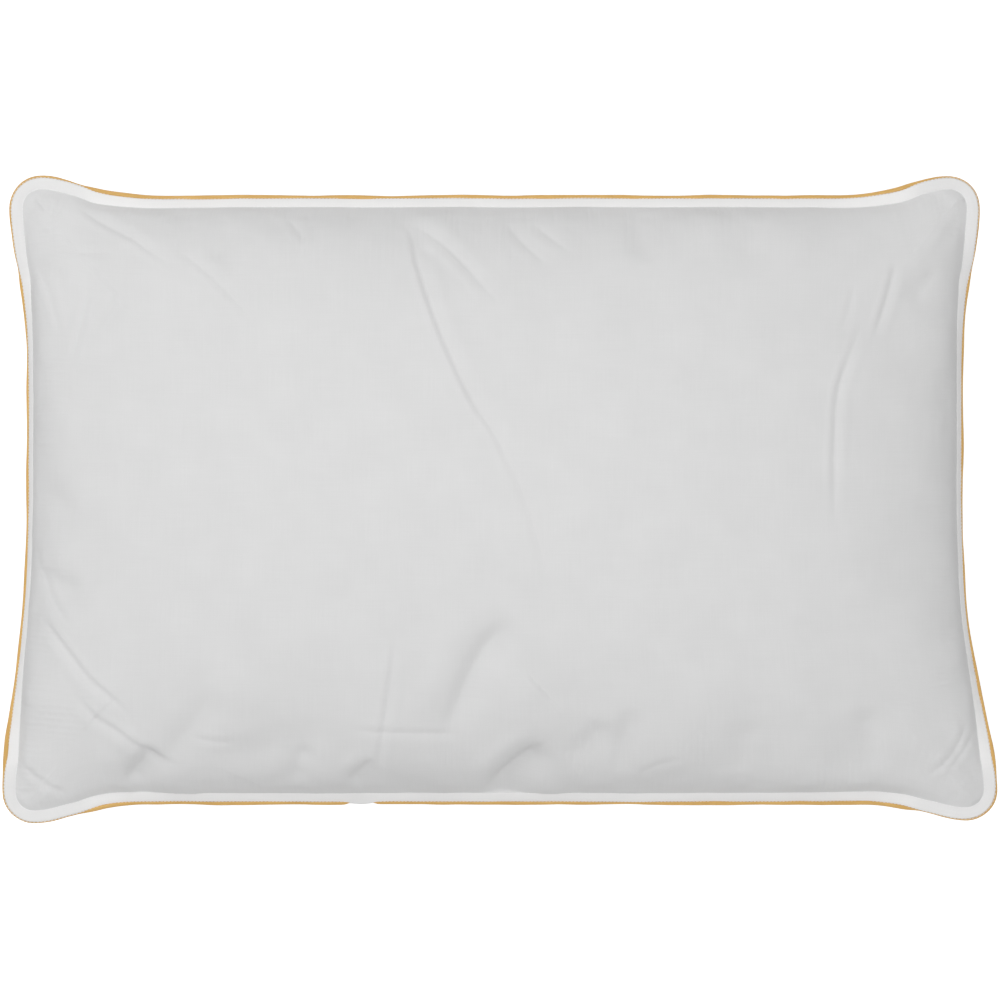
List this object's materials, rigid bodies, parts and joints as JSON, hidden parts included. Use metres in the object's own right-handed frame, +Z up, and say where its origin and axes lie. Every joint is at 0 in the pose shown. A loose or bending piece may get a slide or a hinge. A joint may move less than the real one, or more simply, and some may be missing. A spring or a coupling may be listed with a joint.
{
  "type": "bed pillow",
  "caption": "Rectangular down-filled bed pillow with a top-stitched flange and thin contrast piping round its edge, lying flat and plumped.",
  "frame": {"origin": "centre of the pillow's outline, on the surface that it lies on", "axes": "+X along the long edges, +Y along the short edges towards the narrower end of the outline, +Z up through the thickness"},
  "size_m": [0.749, 0.489, 0.156],
  "materials": {
    "ticking": "fine plain-weave white cotton, slightly smooth",
    "filling": "loose white down and small feathers",
    "satin": "pale gold satin, soft sheen",
    "cord": "twisted cotton cord, matt",
    "thread": "white sewing thread",
    "label": "blank white woven tape, satin"
  },
  "bodies": {
    "root": {"front_panel": "ticking", "back_panel": "ticking", "down_filling": "filling", "piping_cover": "satin", "piping_cord": "cord", "topstitch_needle_thread": "thread", "topstitch_bobbin_thread": "thread", "join_needle_thread": "thread", "join_bobbin_thread": "thread", "closing_needle_thread": "thread", "closing_bobbin_thread": "thread", "care_label": "label"}
  },
  "joints": []
}
